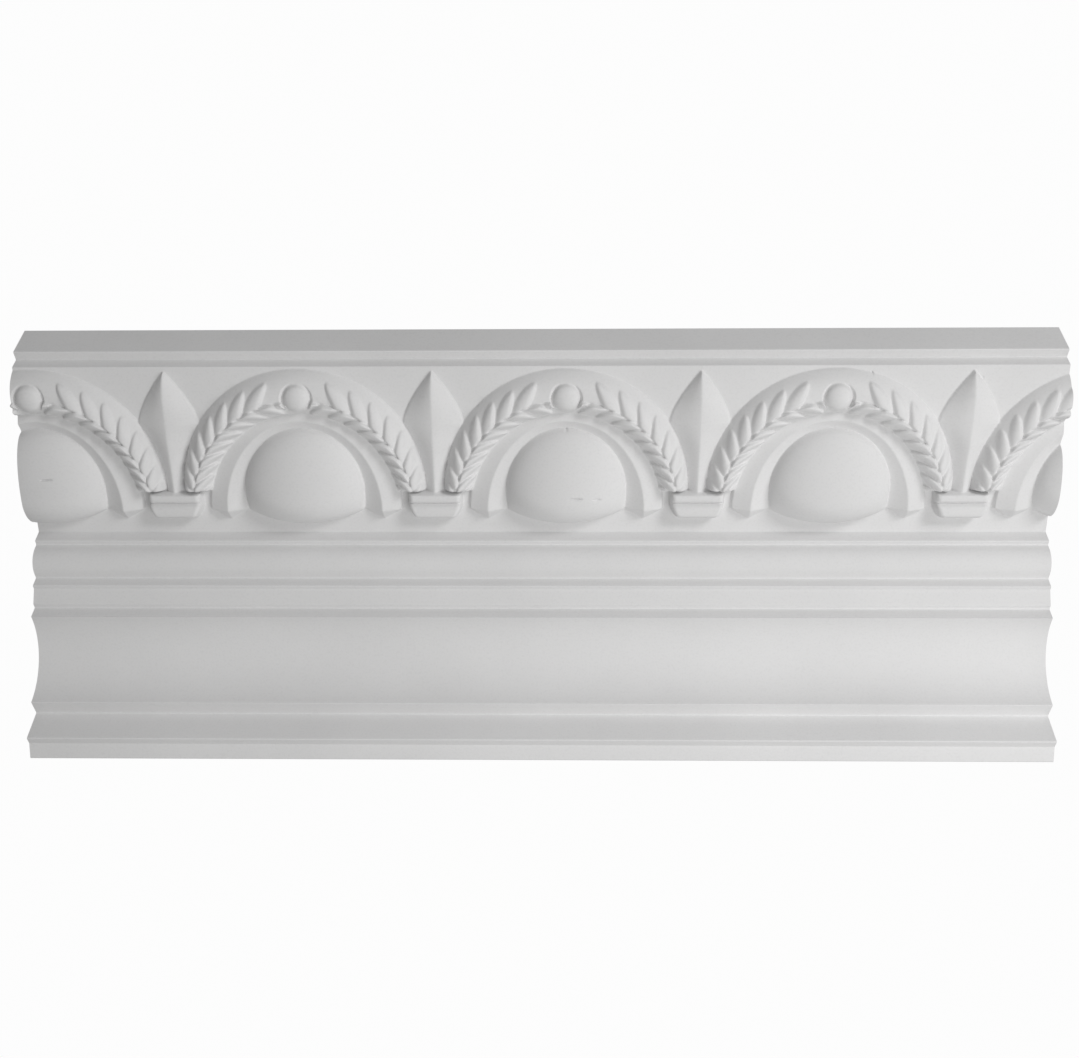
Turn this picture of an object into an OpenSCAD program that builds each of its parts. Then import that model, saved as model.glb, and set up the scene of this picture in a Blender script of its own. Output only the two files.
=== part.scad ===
// Cast plaster cornice length with a sloping frieze of eggs in laurel arches.
//
// The wall is the plane y = 0 and the room lies towards -Y. The run goes along X.
// The origin is the middle of the flat land that is bedded on the wall.

/* [Run] */
// Length between the two square-cut ends
run_length = 502; // [250:1:1000]
// Distance from the middle of the run to the centre of the nearest arch
arch_offset = 14; // [-65:1:65]

/* [Fascia and fillets above the frieze] */
// Height of the top fascia
fascia_h = 18; // [10:0.5:30]
// Step back under the top fascia
upper_step_in = 4.5; // [2:0.5:8]
// Height of the fillet under that step
upper_step_h = 6; // [3:0.5:10]

/* [Frieze ground] */
// Width of the sloping ground, measured up the slope
frieze_w = 84; // [68:0.5:101]
// Slope of the ground below the ceiling plane, in degrees
frieze_slope = 24.5; // [20:0.1:40]

/* [Members below the frieze] */
// Height of the fillet under the frieze
frieze_fillet_h = 6.5; // [3:0.5:10]
// Step back between that fillet and the quarter round
round_step_in = 2.5; // [1:0.5:5]
// Radius of the quarter round
round_r = 9.5; // [6:0.5:14]
// Straight height above the quarter round
round_lip_h = 2.5; // [1:0.5:5]
// Step back under the quarter round
band_step_in = 2; // [1:0.5:5]
// Height of the fillet under the quarter round
band_h = 5.5; // [3:0.5:10]
// Step back from that fillet to the splayed band
splay_step_in = 2; // [1:0.5:5]
// Splayed band, inward
splay_in = 5; // [2:0.5:10]
// Splayed band, downward
splay_h = 6; // [3:0.5:12]
// Step back under the splayed band
cove_step_in = 2.5; // [1:0.5:5]
// Height of the fillet over the cove
cove_fillet_h = 6; // [3:0.5:10]
// Radius of the cove
cove_r = 30; // [20:0.5:45]
// Soffit between the cove and the wall band
soffit_in = 8.5; // [4:0.5:14]
// Height of the wall band
wall_band_h = 15.5; // [8:0.5:24]
// Step back under the wall band
wall_step_in = 4; // [2:0.5:8]
// Bottom chamfer, inward to the wall
chamfer_in = 7; // [3:0.5:12]
// Bottom chamfer, downward
chamfer_h = 5; // [3:0.5:10]

/* [Back] */
// Height of the land bedded on the wall
wall_land = 40; // [20:1:60]
// Depth of the land bedded on the ceiling
ceiling_land = 45; // [20:1:60]

/* [Arches of the frieze] */
// Distance from one arch to the next
repeat = 128.4; // [106:0.2:156]
// Ground left below the foot of the arches
foot_margin = 12.8; // [8:0.5:18]
// Ground left above the crown of the arches
crown_margin = 1.4; // [1:0.2:4]
// Half the gap between two laurel bands, where the band's own ellipse is widest
arch_gap = 4.5; // [3:0.1:9]
// Height of the widest part of the arch over its foot
arch_spring = 10; // [6:0.5:16]
// Width of the laurel band at its widest part
laurel_foot_w = 12.5; // [9:0.5:16]
// Width of the laurel band at the crown
laurel_crown_w = 20.4; // [16:0.2:24]
// Height of the laurel band's midrib over the ground
laurel_h = 6.8; // [5:0.2:10]
// Height of the laurel band's edges over the ground
laurel_edge_h = 2.4; // [1.5:0.1:4]
// Number of leaves on each side of the midrib, from the tie up to the berry
leaves = 9; // [5:1:10]
// Length of a leaf next to the berry
leaf_l = 11.5; // [7:0.5:14]
// Width of a leaf
leaf_w = 4.8; // [2.6:0.2:5.4]
// Height of a leaf's ridge over the band
leaf_h = 1.3; // [0.6:0.1:2.4]
// Radius of the berry at the crown
berry_r = 6.4; // [4:0.2:8]
// Height of the berry over the ground
berry_h = 9; // [7:0.2:12]

/* [Shell and egg] */
// Width of the shell around the egg at its foot
shell_foot_w = 18; // [12:0.5:22]
// Width of the shell around the egg at the crown
shell_crown_w = 8.5; // [5:0.2:10]
// Height of the shell's ridge over the ground
shell_h = 5.6; // [4:0.2:9]
// How far the pointed feet of the shell reach below the arch foot
shell_toe = 5.3; // [2:0.1:8]
// How far the egg bulges below the arch foot
egg_belly = 7.3; // [3:0.1:10]
// Height of the egg over the ground
egg_h = 13.5; // [9:0.5:20]

/* [Dart and tie] */
// Half the width of the dart at its shoulders
dart_w = 14.3; // [9:0.1:18]
// Height of the dart's ridge over the ground
dart_h = 6.4; // [4:0.5:10]
// Distance from the dart's tip up to the top edge of the ground
dart_tip_margin = 2.4; // [1:0.2:6]
// Height of the dart's shoulders over the arch foot
dart_shoulder = 44; // [30:0.5:54]
// Half the width of the tie between two arches, at its top
tie_w = 13; // [10:0.5:18]
// Height of the tie's two rolls over the ground
tie_h = 7.6; // [5:0.2:11]
// Top of the tie over the arch foot
tie_top = 9; // [6:0.5:12]
// Bottom of the tie below the arch foot
tie_foot = 4.2; // [2:0.5:8]

/* [Hidden] */
$fn = 96;

plaster = "#d9d8d6";

frieze_in = frieze_w * cos(frieze_slope);
frieze_h = frieze_w * sin(frieze_slope);

// The face from the ceiling edge to the wall: each member steps inward and downward.
members = [
    [0, fascia_h], [upper_step_in, 0], [0, upper_step_h],
    [frieze_in, frieze_h],
    [0, frieze_fillet_h], [round_step_in, 0],
    [0, round_lip_h], [round_r, round_r], [band_step_in, 0],
    [0, band_h], [splay_step_in, 0], [splay_in, splay_h],
    [cove_step_in, 0], [0, cove_fillet_h], [cove_r, cove_r],
    [soffit_in, 0], [0, wall_band_h], [wall_step_in, 0], [chamfer_in, chamfer_h]
];
FRIEZE_FOOT = 4;   // corner of the face at the foot of the frieze
ROUND_FOOT = 8;    // corner where the quarter round ends
COVE_HEAD = 14;    // corner where the cove starts

function sum_to(list, n) = n == 0 ? [0, 0] : sum_to(list, n - 1) + list[n - 1];
projection = sum_to(members, len(members))[0];
drop = sum_to(members, len(members))[1];
ceiling_z = drop - wall_land / 2;
// Corner n of the face, as [y, z]
function corner(n) = [-projection, ceiling_z] + [sum_to(members, n)[0], -sum_to(members, n)[1]];

SINK = 2;          // how deep the enrichment is rooted in the ground
SETBACK = 0.05;    // how far the cut enrichment stops short of the run's ends
LAP = 0.6;         // how far neighbouring forms run into each other
ARC_STEPS = 18;    // facets along an arch
EGG_STEPS = 24;    // facets around an egg
EGG_RINGS = 4;     // facets from an egg's edge to its top
EDGE_H = 0.8;      // height of the low edges of shell, dart and tie over the ground
CREST = 0.5;       // place of the shell's crest across its width
EGG_POLE = 0.3;    // place of the egg's top, as a share of the height of its outline
TAPER = 3;         // how much narrower the tie is at its foot, on each side
ROLL_SPLIT = 0.58; // place of the groove between the tie's rolls, from its foot up
TIE_END = 0.72;    // where the tie starts to fall to its ends
DART_FULL = 9;     // half width at which the dart reaches its full height

MIDRIB = 0.38;     // place of the midrib across the laurel band, from the shell outwards
LEAF_ANGLE = 40;   // angle of a leaf to the midrib
LEAF_WAIST = 0.42; // widest place of a leaf, as a share of its length
INNER_LEAF = 0.86; // length of an inner leaf, as a share of an outer one
LEAF_START = 16;   // angle along the arch of the first leaf
LEAF_END = 76;     // angle along the arch of the last leaf
LEAF_SMALL = 0.62; // size of the first leaf, as a share of the last
OUTER_FALL = 1.1;  // how far an outer leaf's tip lies below the midrib
INNER_FALL = 1.7;  // how far an inner leaf's tip lies below the midrib
FLANK_FALL = 0.7;  // how far a leaf's flanks lie below the midrib

// Half widths and crowns of the nested arches, from the outside in
arch_a = repeat / 2 - arch_gap;
arch_top = frieze_w - foot_margin - crown_margin;
shell_a = arch_a - laurel_foot_w;
shell_top = arch_top - laurel_crown_w;
egg_a = shell_a - shell_foot_w;
egg_top = shell_top - shell_crown_w;
crest_a = egg_a + CREST * shell_foot_w;
crest_top = egg_top + CREST * shell_crown_w;

// Point of an arch at an angle: half width a, springing from height b, crown at c
function arc_point(a, b, c, angle) = [a * cos(angle), b + (c - b) * sin(angle)];

// Height of the laurel band over the ground, at a place across it from 0 to 1
function laurel_z(f) = laurel_edge_h + (laurel_h - laurel_edge_h)
    * (f < MIDRIB ? sin(90 * f / MIDRIB) : cos(90 * (f - MIDRIB) / (1 - MIDRIB)));
function across(f, angle) = arc_point(shell_a, 0, shell_top, angle) * (1 - f)
    + arc_point(arch_a, arch_spring, arch_top, angle) * f;
// Point on the laurel band, as [x, up the slope, over the ground]
function on_laurel(f, angle) = concat(across(f, angle), laurel_z(f));

// Closed skin over a row of equal loops, capped at both ends
module skin(loops) {
    n = len(loops[0]);
    last = len(loops) - 1;
    polyhedron(
        points = [for (loop = loops) each loop],
        faces = concat(
            [[for (i = [n - 1:-1:0]) i]],
            [for (k = [0:last - 1]) for (i = [0:n - 1])
                let (a = k * n + i, b = k * n + (i + 1) % n)
                each [[a, b, b + n], [a, b + n, a + n]]],
            [[for (i = [0:n - 1]) last * n + i]]
        )
    );
}

module laurel_band() {
    steps = [0, MIDRIB, 0.7, 1];
    skin([for (k = [ARC_STEPS:-1:0])
        let (angle = 180 * k / ARC_STEPS)
        concat(
            [for (f = steps) on_laurel(f, angle)],
            [concat(across(1, angle), -SINK), concat(across(0, angle), -SINK)]
        )]);
}

// A pointed leaf: base on the midrib, tip towards the berry, side is 1 outside, -1 inside
module leaf(angle, side, size) {
    root = across(MIDRIB, angle);
    ahead = across(MIDRIB, angle + 1) - root;
    along = ahead / norm(ahead);
    out = [along[1], -along[0]] * side;
    axis = along * cos(LEAF_ANGLE) + out * sin(LEAF_ANGLE);
    flank = [-axis[1], axis[0]] * leaf_w * size / 2;
    long = leaf_l * size * (side > 0 ? 1 : INNER_LEAF);
    // A leaf's tip hangs towards the edge of the laurel band
    tip_z = laurel_h - (side > 0 ? OUTER_FALL : INNER_FALL);
    tip = root + axis * long;
    waist = root + axis * long * LEAF_WAIST;
    hull() polyhedron(
        points = [
            concat(root, laurel_h), concat(tip, tip_z),
            concat(waist + flank, laurel_h - FLANK_FALL),
            concat(waist - flank, laurel_h - FLANK_FALL),
            concat(waist, laurel_h + leaf_h), concat(waist, laurel_edge_h),
            concat(tip, laurel_edge_h - 1)
        ],
        faces = [[0, 1, 2, 3, 4, 5, 6]]
    );
}

// Leaves of the right half; they shrink from the berry down to the tie
module leaf_rows() {
    for (k = [0:leaves - 1]) {
        share = k / (leaves - 1);
        angle = LEAF_START + (LEAF_END - LEAF_START) * share;
        size = LEAF_SMALL + (1 - LEAF_SMALL) * share;
        leaf(angle, 1, size);
        leaf(angle, -1, size);
    }
}

module berry() {
    FACETS = 14;
    translate([0, across(MIDRIB, 90)[1], berry_h - berry_r])
        hull() {
            sphere(r = berry_r, $fn = FACETS);
            translate([0, 0, -berry_r])
                cylinder(r = berry_r, h = 1, $fn = FACETS);
        }
}

// Shell around the egg: a roof-shaped ridge with pointed feet
module shell() {
    function inner(angle) = arc_point(egg_a - LAP, 0, egg_top - LAP, angle);
    function crest(angle) = arc_point(crest_a, 0, crest_top, angle);
    function outer(angle) = arc_point(shell_a + LAP, 0, shell_top + LAP, angle);
    function section(angle, reach) = [
        concat(inner(angle), EDGE_H),
        concat(crest(angle) - [0, reach], reach > 0 ? EDGE_H : shell_h),
        concat(outer(angle), 2 * EDGE_H),
        concat(outer(angle), -SINK),
        concat(inner(angle), -SINK)
    ];
    skin(concat(
        [section(180, shell_toe)],
        [for (k = [ARC_STEPS:-1:0]) section(180 * k / ARC_STEPS, 0)],
        [section(0, shell_toe)]
    ));
}

// Outline of the egg: an upper half like the arches, a shallow bulge below
function egg_point(angle) = angle <= 180
    ? arc_point(egg_a, 0, egg_top, angle)
    : arc_point(egg_a, 0, egg_belly, angle);

module egg() {
    function ring(spread, z) = [for (k = [EGG_STEPS:-1:1])
        concat(egg_point(360 * k / EGG_STEPS) * spread
            + [0, EGG_POLE * egg_top * (1 - spread)], z)];
    skin(concat(
        [ring(1, -SINK)],
        [for (k = [0:EGG_RINGS - 1])
            let (lift = 90 * k / EGG_RINGS)
            ring(cos(lift), EDGE_H + (egg_h - EDGE_H) * sin(lift))],
        [ring(0.04, egg_h)] // small flat top
    ));
}

// Dart between two arches, with a ridge along its middle
module dart() {
    tip = frieze_w - foot_margin - dart_tip_margin;
    steps = 8;
    low = tie_top - 2; // the dart starts under the tie
    // Half the room that the arches leave at a height over the foot
    function room(s) = repeat / 2 - arch_a
        * sqrt(max(0, 1 - pow(max(0, s - arch_spring) / (arch_top - arch_spring), 2)));
    // The sides swell out from the tip, then follow the arches down
    function half(s) = s > dart_shoulder
        ? min(room(s), dart_w * (1 - pow((s - dart_shoulder) / (tip - dart_shoulder), 1.5)))
        : min(room(s), dart_w) - 0.3;
    skin([for (k = [0:steps])
        let (
            s = low + (tip - 0.2 - low) * k / steps, // 0.2 leaves the tip blunt
            w = half(s),
            top = EDGE_H + (dart_h - EDGE_H) * min(1, w / DART_FULL)
        )
        [[-w, s, -SINK], [w, s, -SINK], [w, s, EDGE_H], [0, s, top], [-w, s, EDGE_H]]]);
}

// Tie of two rolls that gathers the feet of two laurel bands
module tie() {
    groove = -tie_foot + ROLL_SPLIT * (tie_top + tie_foot);
    // Profile of a roll between two heights up the slope, at an angle from its foot
    function roll(from, to, height, a) = [
        (from + to) / 2 - (to - from) / 2 * cos(a),
        EDGE_H + (height - EDGE_H) * sin(a)
    ];
    // Outline of the two rolls: [up the slope, over the ground]
    rolls = concat(
        [[-tie_foot, -SINK]],
        [for (a = [0:30:180]) roll(-tie_foot, groove, tie_h, a)],
        [for (a = [30:30:180]) roll(groove, tie_top, tie_h - 1, a)],
        [[tie_top, -SINK]]
    );
    skin([for (side = [-1, -TIE_END, TIE_END, 1])
        [for (p = rolls)
            let (up = (p[0] + tie_foot) / (tie_top + tie_foot))
            [side * (tie_w - TAPER * (1 - up)), p[0],
                abs(side) == 1 ? min(p[1], 2 * EDGE_H) : p[1]]]]);
}

module arch() {
    laurel_band();
    leaf_rows();
    mirror([1, 0, 0]) leaf_rows();
    berry();
    shell();
    egg();
}

// All the enrichment of the frieze, cut square with the run
module enrichment() {
    half_units = ceil((run_length + repeat) / (2 * repeat));
    foot = corner(FRIEZE_FOOT);
    color(plaster)
        intersection() {
            translate([0, foot[0], foot[1]])
                rotate([180 - frieze_slope, 0, 0])
                    translate([0, foot_margin, 0])
                        union() {
                            // Buried strip that joins the forms into one body
                            translate([-run_length, 0, -2 * SINK])
                                cube([2 * run_length, arch_top / 2, 1.5 * SINK]);
                            for (k = [-half_units:half_units])
                                translate([arch_offset + k * repeat, 0, 0]) {
                                    arch();
                                    translate([repeat / 2, 0, 0]) {
                                        dart();
                                        tie();
                                    }
                                }
                        }
            translate([SETBACK - run_length / 2, -projection - drop, -drop])
                cube([run_length - 2 * SETBACK, 2 * (projection + drop), 2 * drop]);
        }
}

// Plain run: the members of the face, with a flat back between the two lands
module run() {
    outline = concat(
        [for (n = [0:len(members)]) corner(n)],
        [[0, wall_land / 2], [-projection + ceiling_land, ceiling_z]]
    );
    round_centre = corner(ROUND_FOOT) + [0, round_r];
    cove_centre = corner(COVE_HEAD) - [0, cove_r];
    color(plaster)
        translate([-run_length / 2, 0, 0])
            rotate([90, 0, 90])
                linear_extrude(run_length)
                    difference() {
                        union() {
                            polygon(outline);
                            intersection() {
                                translate(round_centre) circle(r = round_r);
                                translate(round_centre - [round_r, round_r])
                                    square(round_r);
                            }
                        }
                        translate(cove_centre) circle(r = cove_r);
                    }
}

run();  // cornice
enrichment();  // cornice
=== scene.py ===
"""Looks of the cast plaster cornice length: one relief mesh, its plaster, light and camera."""
import math

import bmesh
import bpy
import numpy as np
from mathutils import Matrix, Vector


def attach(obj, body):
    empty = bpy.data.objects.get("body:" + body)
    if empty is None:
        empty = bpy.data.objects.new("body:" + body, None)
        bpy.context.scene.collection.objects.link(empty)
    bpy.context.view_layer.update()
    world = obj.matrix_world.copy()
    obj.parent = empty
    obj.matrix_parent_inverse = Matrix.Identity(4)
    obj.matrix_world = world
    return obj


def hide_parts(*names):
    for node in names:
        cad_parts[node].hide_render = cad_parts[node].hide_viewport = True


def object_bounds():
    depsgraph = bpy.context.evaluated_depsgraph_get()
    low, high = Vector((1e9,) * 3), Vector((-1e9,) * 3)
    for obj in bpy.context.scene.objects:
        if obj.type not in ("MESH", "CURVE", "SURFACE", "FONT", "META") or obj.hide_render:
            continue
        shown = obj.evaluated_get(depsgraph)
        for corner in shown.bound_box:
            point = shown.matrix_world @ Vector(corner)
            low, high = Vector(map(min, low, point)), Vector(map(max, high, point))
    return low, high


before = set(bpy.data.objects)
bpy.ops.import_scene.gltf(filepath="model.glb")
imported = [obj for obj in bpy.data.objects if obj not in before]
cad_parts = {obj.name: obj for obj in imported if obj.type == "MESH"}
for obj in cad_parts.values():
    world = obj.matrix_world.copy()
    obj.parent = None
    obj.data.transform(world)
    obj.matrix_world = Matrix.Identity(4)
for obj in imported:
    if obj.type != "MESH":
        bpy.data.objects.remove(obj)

cad_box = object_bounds()
MM = 0.001

# ---------------------------------------------------------------- sizes, in millimetres
LENGTH = (cad_box[1][0] - cad_box[0][0]) / MM
PROJECTION = -cad_box[0][1] / MM
CEILING_Z = cad_box[1][2] / MM
WALL_LAND = 40.0         # height of the land bedded on the wall
CEILING_LAND = 45.0      # depth of the land bedded on the ceiling

FRIEZE_W = 84.0          # width of the sloping ground, up the slope
FRIEZE_SLOPE = math.radians(24.5)
FOOT_MARGIN = 12.8       # ground left below the foot of the arches
CROWN_MARGIN = 1.4       # ground left above their crown

ROUND_R = 9.5            # quarter round under the frieze
COVE_R = 30.0
ROUND_STEPS = 14         # facets of the quarter round
COVE_STEPS = 32          # facets of the cove
ARRIS_R = 0.7            # rounding of the outline's corners
ARRIS_STEPS = 4

# The face from the ceiling to the wall: each member steps inward and downward.
# "cove" and "round" are quarter circles, and "frieze" is the ground that carries the relief.
MEMBERS = [
    # Fascia, step and fillet
    ("line", 0, 18), ("line", 4.5, 0), ("line", 0, 6),
    ("frieze", FRIEZE_W * math.cos(FRIEZE_SLOPE), FRIEZE_W * math.sin(FRIEZE_SLOPE)),
    # Fillet, step and lip over the quarter round, and the step under it
    ("line", 0, 6.5), ("line", 2.5, 0), ("line", 0, 2.5),
    ("round", ROUND_R, ROUND_R), ("line", 2, 0),
    # Fillet, step and splayed band
    ("line", 0, 5.5), ("line", 2, 0), ("line", 5, 6),
    # Step and fillet over the cove
    ("line", 2.5, 0), ("line", 0, 6), ("cove", COVE_R, COVE_R),
    # Soffit, wall band, step and bottom chamfer
    ("line", 8.5, 0), ("line", 0, 15.5), ("line", 4, 0), ("line", 7, 5),
]

# Nested arches of the frieze. _A is a half width; _TOP, the crown, and _SPRING, the widest part,
# are heights over the arch foot; _H is a height over the ground.
REPEAT = 128.4
ARCH_OFFSET = 14.0       # from the middle of the run to the nearest arch
ARCH_GAP = 4.5           # half the gap between two laurel bands
LAUREL_FOOT_W = 12.5
LAUREL_CROWN_W = 20.4
SHELL_FOOT_W = 18.0
SHELL_CROWN_W = 8.5
ARCH_A = REPEAT / 2 - ARCH_GAP
ARCH_TOP = FRIEZE_W - FOOT_MARGIN - CROWN_MARGIN
ARCH_SPRING = 10.0
SHELL_A = ARCH_A - LAUREL_FOOT_W
SHELL_TOP = ARCH_TOP - LAUREL_CROWN_W
EGG_A = SHELL_A - SHELL_FOOT_W
EGG_TOP = SHELL_TOP - SHELL_CROWN_W
CREST_A = (SHELL_A + EGG_A) / 2
CREST_TOP = (SHELL_TOP + EGG_TOP) / 2

EGG_BELLY = 7.3          # how far the egg bulges below the arch foot
EGG_H = 13.5
EGG_EDGE_H = 0.5
EGG_SPRING = 10.0
EGG_FLANK = 45.0         # depth of the ellipse that the flanks follow down to the foot
EGG_BELLY_R = 14.0       # how far up the egg its lower edge is rounded over
SHELL_FOOT_H = 5.6
SHELL_CROWN_H = 3.6
SHELL_INNER_H = 0.8      # edge beside the egg
SHELL_OUTER_H = 2.0      # edge beside the laurel
SHELL_TOE = 5.3          # how far its pointed feet reach below the arch foot

LAUREL_H = 7.0           # midrib
LAUREL_INNER = 2.8       # edge beside the shell
LAUREL_EDGE = 0.7        # what the fall to the outer edge runs down to
LAUREL_LEAST = 1.2       # but no part of the band is lower than this, its outer edge included
LAUREL_FOOT = 9.6        # height at which the laurel stops, over the tie
LAUREL_FOOT_R = 2.6      # rounding of that end
RIB_FOOT = 0.58          # place of the midrib across the band, from the shell outwards
RIB_CROWN = 0.30
VALLEY_DEPTH = 0.8       # shallow valley along the midrib, where the two rows of leaves meet
VALLEY_W = 0.45

LEAVES = 9.0             # leaves of a row over LEAF_RUN
LEAF_RUN = (2.0, 79.0)   # stretch of arc, measured from the foot of the arch
LEAF_PIVOT = 3.0         # height of the point that the leaves' arc turns about
LEAF_REACH = 10.2        # length of an outer leaf across the band
LEAF_SMALL = 0.75        # size of the first leaf, as a share of the last
OUTER_LEAF_H = 2.1
INNER_LEAF_H = 2.9
OUTER_LEAF_ANGLE = math.radians(50)
INNER_LEAF_ANGLE = math.radians(38)
OUTER_ROW = (0.3, 8)     # how far on a row starts, in leaves, and the leaf that it stops at;
INNER_ROW = (0.75, 10)   # the outer row stops before the berry and the inner one runs under it
INNER_SHARE = 0.94       # how much of an inner leaf's length fits between midrib and inner edge
LEAF_RIDGE = 0.64        # place of a leaf's ridge across it; it lies towards the berry

BERRY_PLACE = 0.38       # place of the berry's centre across the band
BERRY_R = 6.4
BERRY_H = 9.0
BERRY_DOME = 3.4         # how far its top stands over its rim
BERRY_CLEAR = 1.0        # width around the berry where the band is cut down
BERRY_SEAT = 1.6         # how far it is cut down there, below the midrib

DART_W = 14.3            # half width at the shoulders
DART_H = 6.4
DART_TIP_MARGIN = 2.4    # ground left above its tip
DART_TIP = FRIEZE_W - FOOT_MARGIN - DART_TIP_MARGIN
DART_SHOULDER = 44.0
DART_FULL = 9            # half width at which the dart reaches its full height
DART_EDGE_H = 0.8
DART_GAP = 0.3           # ground left between the arches and the dart below its shoulders

TIE_W = 13.0             # half width at the top
TIE_TOP = 9.0
TIE_FOOT = 4.2           # depth below the arch foot
TIE_H = 7.6
TIE_STEP = 1.2           # how much lower the upper roll is
TIE_FOOT_FALL = 1.2      # how far the lower roll falls at its bottom edge
TIE_FOOT_R = 2           # width of that fall
TIE_GROOVE = 0.38        # place of the groove between the rolls, as a share from the top down
TIE_TAPER = 3.4          # how much narrower the tie is at its foot, on each side
TIE_END_R = 2.6          # rounding of its two ends

LAP = 0.3                # how far the laurel and the shell run into each other
EGG_LAP = 0.5            # how far the shell runs in under the egg
ABSENT = -1.0            # height where a form isn't

GRID = 0.4               # spacing of the relief before it is thinned
FINE = 0.2               # spacing of the height map of one repeat
SOFTNESS = 0.23          # how far the cast has rounded every edge of the relief
TRIANGLES = 185000       # what the thinned mesh may hold
SHARP = math.radians(50)   # edges that turn further than this stay sharp


# ---------------------------------------------------------------- relief of one repeat
def arc_point(a, b, c, angle):
    """Point of an arch at an angle: half width a, springing from height b, crown at c."""
    return np.array([a * math.cos(angle), b + (c - b) * math.sin(angle)])


def reach(x, s, a, b, c):
    """How far out a point lies, as a share of the ellipse of half width a, from b up to c."""
    return np.hypot(x / a, (s - b) / (c - b))


def step(value, low, high):
    """Smooth step from 0 at low to 1 at high."""
    u = np.clip((value - low) / (high - low), 0, 1)
    return u * u * (3 - 2 * u)


def laurel_z(f, rib):
    """Height across the laurel band: a gentle rise to the midrib, then a rounded fall outwards."""
    inner = LAUREL_INNER + (LAUREL_H - LAUREL_INNER) * np.sin(np.pi / 2 * np.clip(f / rib, 0, 1))
    outer = LAUREL_H - (LAUREL_H - LAUREL_EDGE) * np.clip((f - rib) / (1 - rib), 0, 1) ** 2.6
    return np.where(f < rib, inner, outer)


def laurel_place(x, s):
    """Place across the laurel band, 0 at the shell and 1 at the outer edge, and its width there."""
    inside = (reach(x, s, SHELL_A, 0, SHELL_TOP) - 1) * SHELL_A
    outside = (1 - reach(x, s, ARCH_A, ARCH_SPRING, ARCH_TOP)) * ARCH_A
    width = np.maximum(inside + outside, 0.1)
    in_band = (inside > -LAP) & (outside > 0) & (s > LAUREL_FOOT)
    return inside / width, width, in_band


def band_point(f, angle):
    """Point of the laurel band at a place across it and an angle along the arch."""
    return (arc_point(SHELL_A, 0, SHELL_TOP, angle) * (1 - f)
            + arc_point(ARCH_A, ARCH_SPRING, ARCH_TOP, angle) * f)


def row_of_leaves(along, row, share):
    """Row of plump pointed leaves; share is how far a point is from a leaf's root to its tip."""
    phase, last = row
    v = (along - LEAF_RUN[0]) / (LEAF_RUN[1] - LEAF_RUN[0])
    # Leaves lie a little closer together near the foot of the arch
    leaf = LEAVES * (1.25 * v - 0.25 * v * v) + phase
    u = leaf % 1.0
    girth = np.sqrt(np.clip(1 - np.clip(share, 0, 1) ** 2.5, 0.0004, 1))
    ahead, behind = (u - LEAF_RIDGE) / (1 - LEAF_RIDGE), (LEAF_RIDGE - u) / LEAF_RIDGE
    side = np.abs(np.where(u > LEAF_RIDGE, ahead, behind)) / girth
    swell = np.clip(1 - side ** 2.4, 0, 1) * girth ** 0.5
    return np.where((leaf > 0) & (leaf < last), swell, 0)


def leaves(x, s, f, width, rib):
    """Height of the two rows of leaves over the band, on the right half of an arch."""
    middle_s = band_point(RIB_CROWN, math.pi / 2)[1]
    along = np.arctan2(s - LEAF_PIVOT, x) * (middle_s - LEAF_PIVOT)
    off = (f - rib) * width
    size = LEAF_SMALL + (1 - LEAF_SMALL) * np.clip(along / LEAF_RUN[1], 0, 1)
    outer_along = along - off / math.tan(OUTER_LEAF_ANGLE)
    inner_along = along + off / math.tan(INNER_LEAF_ANGLE)
    outer = row_of_leaves(outer_along, OUTER_ROW, off / (LEAF_REACH * size))
    inner = row_of_leaves(inner_along, INNER_ROW, -off / (rib * width) * INNER_SHARE)
    rows = size * np.where(off > 0, OUTER_LEAF_H * outer, INNER_LEAF_H * inner)
    return rows - VALLEY_DEPTH * np.exp(-(off / VALLEY_W) ** 2)


def laurel(x, s):
    """Band of leaves, which fade at its outer edge and end rounded over the tie."""
    f, width, in_band = laurel_place(x, s)
    rib = RIB_FOOT + (RIB_CROWN - RIB_FOOT) * np.sin(np.arctan2(s, x))
    height = laurel_z(np.clip(f, 0, 1), rib) + leaves(x, s, f, width, rib) * step(1 - f, 0.0, 0.12)
    foot = np.clip((s - LAUREL_FOOT) / LAUREL_FOOT_R, 0, 1)
    fall = 0.3 + 0.7 * np.sqrt(1 - (1 - foot) ** 2)
    return np.where(in_band, np.maximum(height, LAUREL_LEAST) * fall, ABSENT)


def berry(x, s):
    """Height of the berry, and the distance of every point from its centre."""
    gone = np.hypot(x, s - band_point(BERRY_PLACE, math.pi / 2)[1])
    dome = BERRY_H - BERRY_DOME + BERRY_DOME * np.sqrt(np.clip(1 - (gone / BERRY_R) ** 2, 0, 1))
    return np.where(gone < BERRY_R, dome, ABSENT), gone


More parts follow.
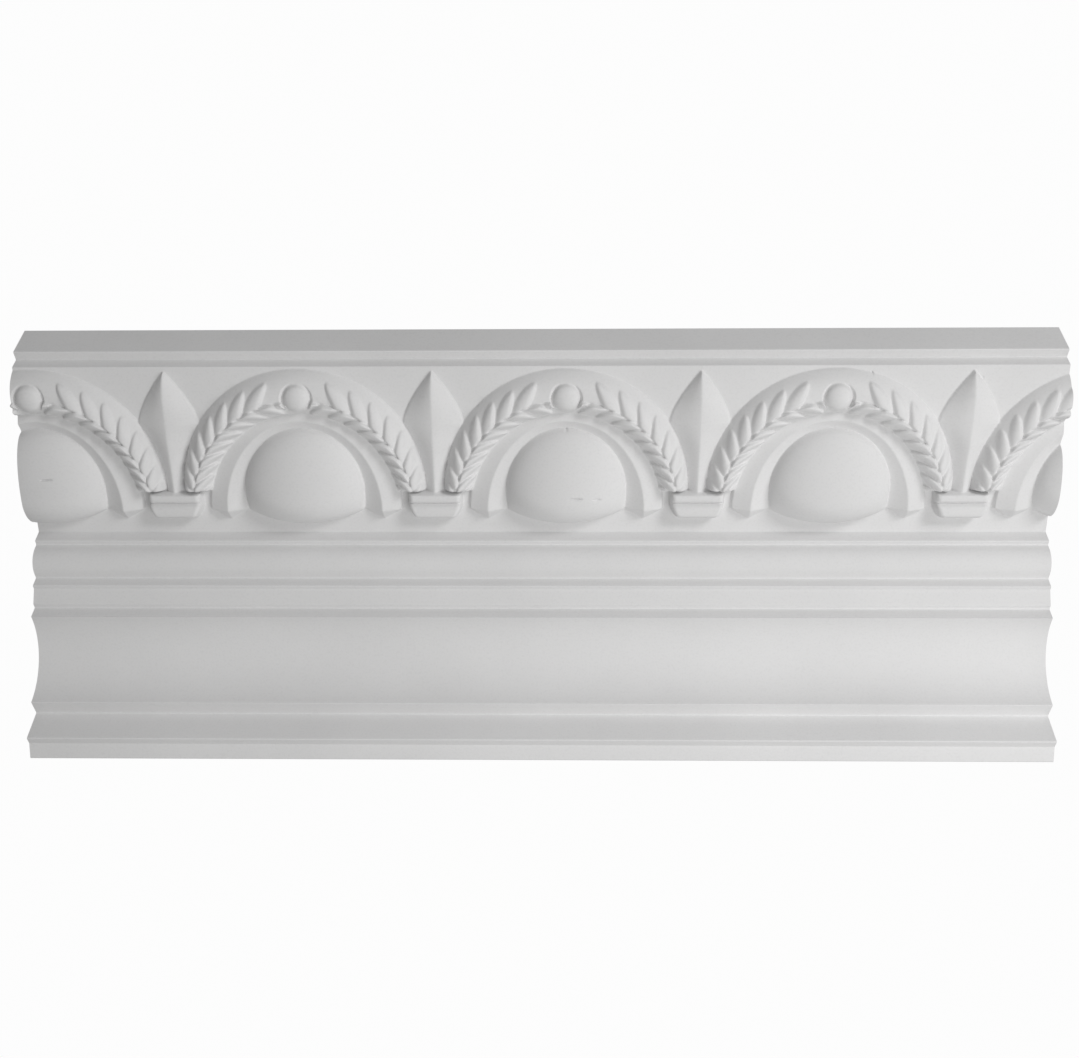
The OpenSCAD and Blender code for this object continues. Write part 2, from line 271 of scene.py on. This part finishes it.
def shell(x, s):
    """Roof-shaped ridge around the egg, with pointed feet below the arch foot."""
    inner = (reach(x, s, EGG_A, 0, EGG_TOP) - 1) * EGG_A
    outer = (1 - reach(x, s, SHELL_A, 0, SHELL_TOP)) * SHELL_A
    crest = (reach(x, s, CREST_A, 0, CREST_TOP) - 1) * CREST_A
    up = np.clip(np.arctan2(s, x) / (np.pi / 2), 0, 1)
    peak = SHELL_FOOT_H + (SHELL_CROWN_H - SHELL_FOOT_H) * np.sin(np.pi / 2 * up)

    def roof(g):
        rise = np.clip(1 - np.abs(2 * g - 1), 0, 1)
        edge = np.where(g < 0.5, SHELL_INNER_H, SHELL_OUTER_H)
        return edge + (peak - edge) * rise

    # g is the place across the shell: 0 at the egg, 0.5 on the crest and 1 at the laurel
    g = np.where(crest < 0, 0.5 * inner / np.maximum(inner - crest, 0.1),
                 1 - 0.5 * outer / np.maximum(outer + crest, 0.1))
    on_shell = (s >= 0) & (inner > -EGG_LAP) & (outer > -LAP)
    body = np.where(on_shell, roof(np.clip(g, 0, 1)), ABSENT)
    left = np.clip(1 + s / SHELL_TOE, 0.02, 1)
    toe_x = (x - CREST_A) / left
    g_toe = 0.5 + 0.5 * toe_x / np.where(toe_x < 0, CREST_A - EGG_A, SHELL_A - CREST_A)
    toe = roof(g_toe) * left ** 0.8
    return np.where((s < 0) & (s > -SHELL_TOE) & (g_toe > 0) & (g_toe < 1), toe, body)


def egg(x, s):
    """Smooth dome, widest a little above the foot and rounded over along its lower edge."""
    span = np.where(s > EGG_SPRING, EGG_TOP - EGG_SPRING, EGG_FLANK)
    out = np.hypot(x / EGG_A, (s - EGG_SPRING) / span)
    belly_r = (EGG_A ** 2 + EGG_BELLY ** 2) / (2 * EGG_BELLY)
    belly = s - (belly_r - EGG_BELLY - np.sqrt(np.maximum(belly_r ** 2 - x ** 2, 0)))
    turn = np.sqrt(np.clip(1 - (1 - np.clip(belly / EGG_BELLY_R, 0, 1)) ** 2, 0, 1))
    dome = EGG_EDGE_H + (EGG_H - EGG_EDGE_H) * np.sqrt(np.clip(1 - out ** 2, 0, 1)) * turn
    return np.where((out < 1) & (belly > 0), dome, ABSENT)


def dart(x, s):
    """Ridged dart between two arches; x is measured from its middle."""
    climb = np.maximum(0, s - ARCH_SPRING) / (ARCH_TOP - ARCH_SPRING)
    room = REPEAT / 2 - ARCH_A * np.sqrt(np.clip(1 - climb ** 2, 0, 1))
    # The sides swell out from the tip, then follow the arches down
    above = np.clip((s - DART_SHOULDER) / (DART_TIP - DART_SHOULDER), 0, 1)
    half = np.where(s > DART_SHOULDER, DART_W * (1 - above ** 1.5), np.minimum(DART_W, room - DART_GAP))
    ridge = DART_EDGE_H + (DART_H - DART_EDGE_H) * np.clip(half / DART_FULL, 0, 1) ** 0.6
    slope = np.clip(1 - np.abs(x) / np.maximum(half, 0.05), 0, 1)
    height = DART_EDGE_H + (ridge - DART_EDGE_H) * (slope * 0.4 + 0.6 * np.sin(np.pi / 2 * slope))
    # Its stem starts under the tie
    return np.where((half > 0) & (np.abs(x) < half) & (s > TIE_TOP - 2), height, ABSENT)


def tie(x, s):
    """Flat upper roll, a groove and a thicker lower roll; x is measured from the tie's middle."""
    groove = TIE_TOP - TIE_GROOVE * (TIE_TOP + TIE_FOOT)
    low, high = (s + TIE_FOOT) / (groove + TIE_FOOT), (s - groove) / (TIE_TOP - groove)
    lower = np.clip(1 - np.abs(2 * low - 1) ** 3.0, 0, 1) ** 0.6
    upper = np.clip(1 - np.abs(2 * high - 1) ** 4.0, 0, 1) ** 0.6
    lower_z = TIE_H * (0.55 + 0.45 * lower)
    lower_z = lower_z - TIE_FOOT_FALL * (1 - step(s, -TIE_FOOT, -TIE_FOOT + TIE_FOOT_R))
    upper_z = (TIE_H - TIE_STEP) * (0.62 + 0.38 * upper)
    height = np.where(s < groove, lower_z, upper_z)
    taper = np.clip((groove - 1 - s) / (groove - 1 + TIE_FOOT), 0, 1)
    end = np.clip((TIE_W - TIE_TAPER * taper ** 1.5 - np.abs(x)) / TIE_END_R, 0, 1)
    height = height * (0.5 + 0.5 * np.sqrt(1 - (1 - end) ** 2))
    return np.where((s > -TIE_FOOT) & (s < TIE_TOP) & (end > 0), height, ABSENT)


def soften(height, sigma):
    """Gaussian blur, which wraps round along the run."""
    n = int(math.ceil(3 * sigma))
    weight = np.exp(-0.5 * (np.arange(-n, n + 1) / sigma) ** 2)
    weight /= weight.sum()
    wide = np.pad(height, ((0, 0), (n, n)), mode="wrap")
    rows = sum(w * wide[:, i:i + height.shape[1]] for i, w in enumerate(weight))
    tall = np.pad(rows, ((n, n), (0, 0)), mode="edge")
    return sum(w * tall[i:i + height.shape[0], :] for i, w in enumerate(weight))


def one_repeat():
    """Height map of one repeat, centred on an arch: rows go up the slope from its lower edge."""
    columns = int(round(REPEAT / FINE))
    rows = int(round(FRIEZE_W / FINE)) + 1
    x = (np.arange(columns) + 0.5) * FINE - REPEAT / 2
    s = np.arange(rows) * FINE - FOOT_MARGIN
    x, s = np.meshgrid(x, s)
    x = np.abs(x)   # both halves of an arch are alike
    fruit, gone = berry(x, s)
    band = laurel(x, s)
    seat = np.minimum(band, LAUREL_H - BERRY_SEAT)
    band = np.where(gone < BERRY_R + BERRY_CLEAR, seat, band)
    between = REPEAT / 2 - x
    height = np.zeros_like(x)
    for form in (band, fruit, shell(x, s), egg(x, s), dart(between, s), tie(between, s)):
        height = np.maximum(height, form)
    return soften(height, SOFTNESS / FINE)


def sample(heights, x, s):
    """Bilinear reading of the height map at x along the run and s over the ground's lower edge."""
    u = ((x - ARCH_OFFSET + REPEAT / 2) % REPEAT) / FINE - 0.5
    v = np.clip(s / FINE, 0, heights.shape[0] - 1.001)
    i, j = np.floor(u).astype(int), np.floor(v).astype(int)
    fu, fv = u - i, v - j
    w = heights.shape[1]
    a, b = heights[j, i % w], heights[j, (i + 1) % w]
    c, d = heights[j + 1, i % w], heights[j + 1, (i + 1) % w]
    return (a * (1 - fu) + b * fu) * (1 - fv) + (c * (1 - fu) + d * fu) * fv


# ---------------------------------------------------------------- the face and the back
def rounded(before, corner, after, radius):
    """Points that round one corner of an outline."""
    a, b = before - corner, after - corner
    la, lb = np.linalg.norm(a), np.linalg.norm(b)
    a, b = a / la, b / lb
    half = math.acos(np.clip(np.dot(a, b), -1, 1)) / 2
    if math.pi / 2 - half < 0.1:
        return [corner]
    trim = min(radius / math.tan(half), 0.4 * la, 0.4 * lb)
    radius = trim * math.tan(half)
    centre = corner + (a + b) / np.linalg.norm(a + b) * radius / math.sin(half)
    start, end = corner + a * trim - centre, corner + b * trim - centre
    turn = math.pi - 2 * half
    return [centre + (start * math.sin((1 - t) * turn) + end * math.sin(t * turn)) / math.sin(turn)
            for t in np.linspace(0, 1, ARRIS_STEPS + 1)]


def outline():
    """Closed outline as rows of (point, height over the frieze's lower edge or None)."""
    spot = np.array([-PROJECTION, CEILING_Z])
    corners, kinds = [spot], []
    for kind, inward, downward in MEMBERS:
        spot = spot + np.array([inward, -downward])
        corners.append(spot)
        kinds.append(kind)
    corners += [np.array([0, WALL_LAND / 2]), np.array([-PROJECTION + CEILING_LAND, CEILING_Z])]
    kinds += ["line", "line", "line"]
    rows = []
    for n, corner in enumerate(corners):
        before, after = corners[n - 1], corners[(n + 1) % len(corners)]
        if kinds[n - 1] == "cove":
            # A cove comes down plumb to its end
            before = corner + np.array([0, 1])
        # The corners where a round starts and ends and a cove starts stay as they are
        plain = kinds[n] in ("round", "cove") or kinds[n - 1] == "round"
        points = [corner] if plain else rounded(before, corner, after, ARRIS_R)
        rows += [(p, None) for p in points]
        if kinds[n] == "frieze":
            steps = int(round((FRIEZE_W - 2 * ARRIS_R) / GRID))
            for t in np.linspace(ARRIS_R, FRIEZE_W - ARRIS_R, steps + 1):
                rows.append((corner + (after - corner) * t / FRIEZE_W, FRIEZE_W - t))
        if kinds[n] == "round":
            centre = after + np.array([0, ROUND_R])
            rows += [(centre + ROUND_R * np.array([-math.cos(t), -math.sin(t)]), None)
                     for t in np.linspace(0, math.pi / 2, ROUND_STEPS + 1)[1:-1]]
        if kinds[n] == "cove":
            centre = corner - np.array([0, COVE_R])
            rows += [(centre + COVE_R * np.array([math.sin(t), math.cos(t)]), None)
                     for t in np.linspace(0, math.pi / 2, COVE_STEPS + 1)[1:-1]]
    return rows


# x along the run, height over the ground's lower edge, half sizes along and up, depth
FLAWS = [
    (14.0, 53.3, 0.7, 0.7, 1.2),     # pinhole at the top of the third egg from the left
    (158.5, 80.4, 0.7, 0.7, 0.9),    # pinhole in the ground
    (18.5, 21.6, 3.8, 0.5, 0.9),     # two hairlines on the same egg
    (29.0, 20.8, 2.2, 0.5, 0.8),
    (-237.5, 31.3, 3.2, 0.5, 0.9),   # mark on the egg at the left end
    (210.6, 77.9, 1.1, 0.8, 0.5),    # chip by the tip of a dart
]


def flaws(x, s):
    """Depth that the flaws take off the surface."""
    drop = np.zeros(np.broadcast(x, s).shape)
    for at_x, at_s, long, wide, deep in FLAWS:
        inside = 1 - ((x - at_x) / long) ** 2 - ((s - at_s) / wide) ** 2
        drop += deep * np.sqrt(np.clip(inside, 0, 1))
    return drop


def cornice():
    """The whole casting as one closed mesh: rows round the outline, columns along the run."""
    heights = one_repeat()
    rows = outline()
    columns = int(round(LENGTH / GRID)) + 1
    x = np.linspace(-LENGTH / 2, LENGTH / 2, columns)
    points = np.zeros((len(rows), columns, 3))
    normal = np.array([-math.sin(FRIEZE_SLOPE), -math.cos(FRIEZE_SLOPE)])
    for r, (spot, s) in enumerate(rows):
        points[r, :, 0] = x
        points[r, :, 1:] = spot
        if s is not None:
            rise = sample(heights, x, np.full(columns, s)) - flaws(x, s)
            points[r, :, 1:] += rise[:, None] * normal
    n = len(rows)
    here = np.arange(n * columns).reshape(n, columns)
    below = np.roll(here, -1, axis=0)
    quads = np.stack([here[:, :-1], here[:, 1:], below[:, 1:], below[:, :-1]], axis=-1)
    quads = quads.reshape(-1, 4)
    mesh = bpy.data.meshes.new("cornice_relief")
    ends = [here[:, 0].tolist(), here[::-1, -1].tolist()]
    mesh.from_pydata((points.reshape(-1, 3) * MM).tolist(), [], quads[:, ::-1].tolist() + ends)
    mesh.update()
    return mesh


def baked(obj, *steps):
    """Applies modifiers, given as (type, settings), to the object's mesh."""
    for kind, settings in steps:
        modifier = obj.modifiers.new(kind.lower(), kind)
        for name, value in settings.items():
            setattr(modifier, name, value)
    mesh = bpy.data.meshes.new_from_object(obj.evaluated_get(bpy.context.evaluated_depsgraph_get()))
    obj.modifiers.clear()
    obj.data = mesh


def thinned(obj, limit):
    """Collapses the flattest edges down to a limit of triangles, and shades between sharp edges."""
    faces = sum(len(p.vertices) - 2 for p in obj.data.polygons)
    baked(obj, ("DECIMATE", {"ratio": min(1.0, limit / faces)}))
    obj.data.shade_smooth()
    obj.data.set_sharp_from_angle(angle=SHARP)
    # Flat members stay flat: large faces outweigh small ones where the surface is smooth
    baked(obj, ("WEIGHTED_NORMAL", {"keep_sharp": True}))


# ---------------------------------------------------------------- plaster
def plaster():
    """Bare matt plaster: drying clouds and speckle in its colour, grain and drag marks as bump."""
    material = bpy.data.materials.new("cast_plaster")
    material.use_nodes = True
    nodes, links = material.node_tree.nodes, material.node_tree.links
    shader = nodes["Principled BSDF"]
    shader.inputs["Roughness"].default_value = 0.82
    shader.inputs["Specular IOR Level"].default_value = 0.25

    where = nodes.new("ShaderNodeTexCoord").outputs["Object"]

    def noise(scale, detail=3.0, roughness=0.5, stretch=(1, 1, 1)):
        place = nodes.new("ShaderNodeMapping")
        place.inputs["Scale"].default_value = stretch
        links.new(where, place.inputs["Vector"])
        node = nodes.new("ShaderNodeTexNoise")
        node.inputs["Scale"].default_value = scale
        node.inputs["Detail"].default_value = detail
        node.inputs["Roughness"].default_value = roughness
        links.new(place.outputs["Vector"], node.inputs["Vector"])
        return node.outputs["Fac"]

    def ramp(source, stops):
        node = nodes.new("ShaderNodeValToRGB")
        links.new(source, node.inputs["Fac"])
        band = node.color_ramp
        while len(band.elements) < len(stops):
            band.elements.new(0.5)
        for element, (place, colour) in zip(band.elements, stops):
            element.position = place
            element.color = (*colour, 1)
        return node.outputs["Color"]

    def multiply(a, b):
        node = nodes.new("ShaderNodeMix")
        node.data_type = "RGBA"
        node.blend_type = "MULTIPLY"
        node.inputs["Factor"].default_value = 1.0
        links.new(a, node.inputs["A"])
        links.new(b, node.inputs["B"])
        return node.outputs["Result"]

    clouds = ramp(noise(14, 4), [(0.3, (0.748, 0.745, 0.746)), (0.7, (0.788, 0.785, 0.786))])
    speckle = ramp(noise(900, 2), [(0.32, (0.97, 0.97, 0.97)), (0.5, (1, 1, 1))])
    links.new(multiply(clouds, speckle), shader.inputs["Base Color"])

    grain = nodes.new("ShaderNodeBump")
    grain.inputs["Strength"].default_value = 0.3
    grain.inputs["Distance"].default_value = 0.00015
    links.new(noise(700, 4, 0.6), grain.inputs["Height"])
    drag = nodes.new("ShaderNodeBump")
    drag.inputs["Strength"].default_value = 0.2
    drag.inputs["Distance"].default_value = 0.00015
    links.new(noise(260, 3, 0.5, (0.02, 1, 1)), drag.inputs["Height"])
    links.new(grain.outputs["Normal"], drag.inputs["Normal"])
    links.new(drag.outputs["Normal"], shader.inputs["Normal"])
    return material


# ---------------------------------------------------------------- piece
relief = bpy.data.objects.new("cornice_relief", cornice())
bpy.context.scene.collection.objects.link(relief)
thinned(relief, TRIANGLES)
relief.data.materials.append(plaster())
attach(relief, "root")
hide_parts("cornice")


# ---------------------------------------------------------------- camera
# In metres. The lens stands below and in front of the face, and looks up at it by 45 degrees.
EYE = Vector((0.013, -0.4970, -0.3555))
TURN = math.radians(1.17)
LOOK_UP = math.radians(45)

camera = bpy.data.objects.new("camera", bpy.data.cameras.new("camera"))
bpy.context.scene.collection.objects.link(camera)
camera.data.sensor_width = 36.0
camera.data.lens = 40.04
camera.data.clip_start = 0.01
camera.location = EYE
tilt = Matrix.Rotation(math.pi / 2 + LOOK_UP, 4, "X")
camera.rotation_euler = (tilt @ Matrix.Rotation(TURN, 4, "Y")).to_euler()
bpy.context.scene.camera = camera


# ---------------------------------------------------------------- light and floor
def area_light(name, place, target, size, power):
    """Round soft lamp, in metres and watts, that the camera doesn't see."""
    lamp = bpy.data.lights.new(name, "AREA")
    lamp.shape = "DISK"
    lamp.size = size
    lamp.energy = power
    obj = bpy.data.objects.new(name, lamp)
    bpy.context.scene.collection.objects.link(obj)
    obj.location = place
    obj.rotation_euler = (Vector(target) - Vector(place)).to_track_quat("-Z", "Y").to_euler()
    obj.visible_camera = False


# Name, place from the middle of the cornice, size and power of each lamp
MIDDLE = Vector((0, -0.075, 0.055))
LAMPS = [
    ("window", (0.90, -1.10, -0.30), 0.5, 7.2),
    ("low_bounce", (0.30, -0.10, -0.60), 0.4, 1.5),
    ("back_fill", (-0.60, 0.80, 0.80), 0.6, 5.0),
]
for name, offset, size, power in LAMPS:
    area_light(name, MIDDLE + Vector(offset), MIDDLE, size, power)

# The camera sees a pale backdrop, and the cornice gets a weaker even light
AMBIENT = 0.27
world = bpy.data.worlds.new("studio")
bpy.context.scene.world = world
world.use_nodes = True
tree = world.node_tree
ambient = tree.nodes["Background"]
ambient.inputs["Color"].default_value = (1, 1, 1, 1)
ambient.inputs["Strength"].default_value = AMBIENT
seen = tree.nodes.new("ShaderNodeBackground")
seen.inputs["Color"].default_value = (0.98, 0.98, 0.98, 1)
seen.inputs["Strength"].default_value = 1.0
which = tree.nodes.new("ShaderNodeMixShader")
rays = tree.nodes.new("ShaderNodeLightPath")
tree.links.new(rays.outputs["Is Camera Ray"], which.inputs["Fac"])
tree.links.new(ambient.outputs["Background"], which.inputs[1])
tree.links.new(seen.outputs["Background"], which.inputs[2])
tree.links.new(which.outputs["Shader"], tree.nodes["World Output"].inputs["Surface"])

FLOOR_SIZE = 30.0    # half its width
FLOOR_Z = -0.9       # the cornice hangs well above it
bm = bmesh.new()
bmesh.ops.create_grid(bm, x_segments=1, y_segments=1, size=FLOOR_SIZE)
floor_mesh = bpy.data.meshes.new("floor")
bm.to_mesh(floor_mesh)
bm.free()
floor = bpy.data.objects.new("floor", floor_mesh)
floor.location = (0, 0, FLOOR_Z)
bpy.context.scene.collection.objects.link(floor)
paint = bpy.data.materials.new("floor_paint")
paint.use_nodes = True
floor_shader = paint.node_tree.nodes["Principled BSDF"]
floor_shader.inputs["Base Color"].default_value = (0.86, 0.86, 0.85, 1)
floor_shader.inputs["Roughness"].default_value = 0.9
floor_mesh.materials.append(paint)

bpy.context.scene.view_settings.view_transform = "Standard"
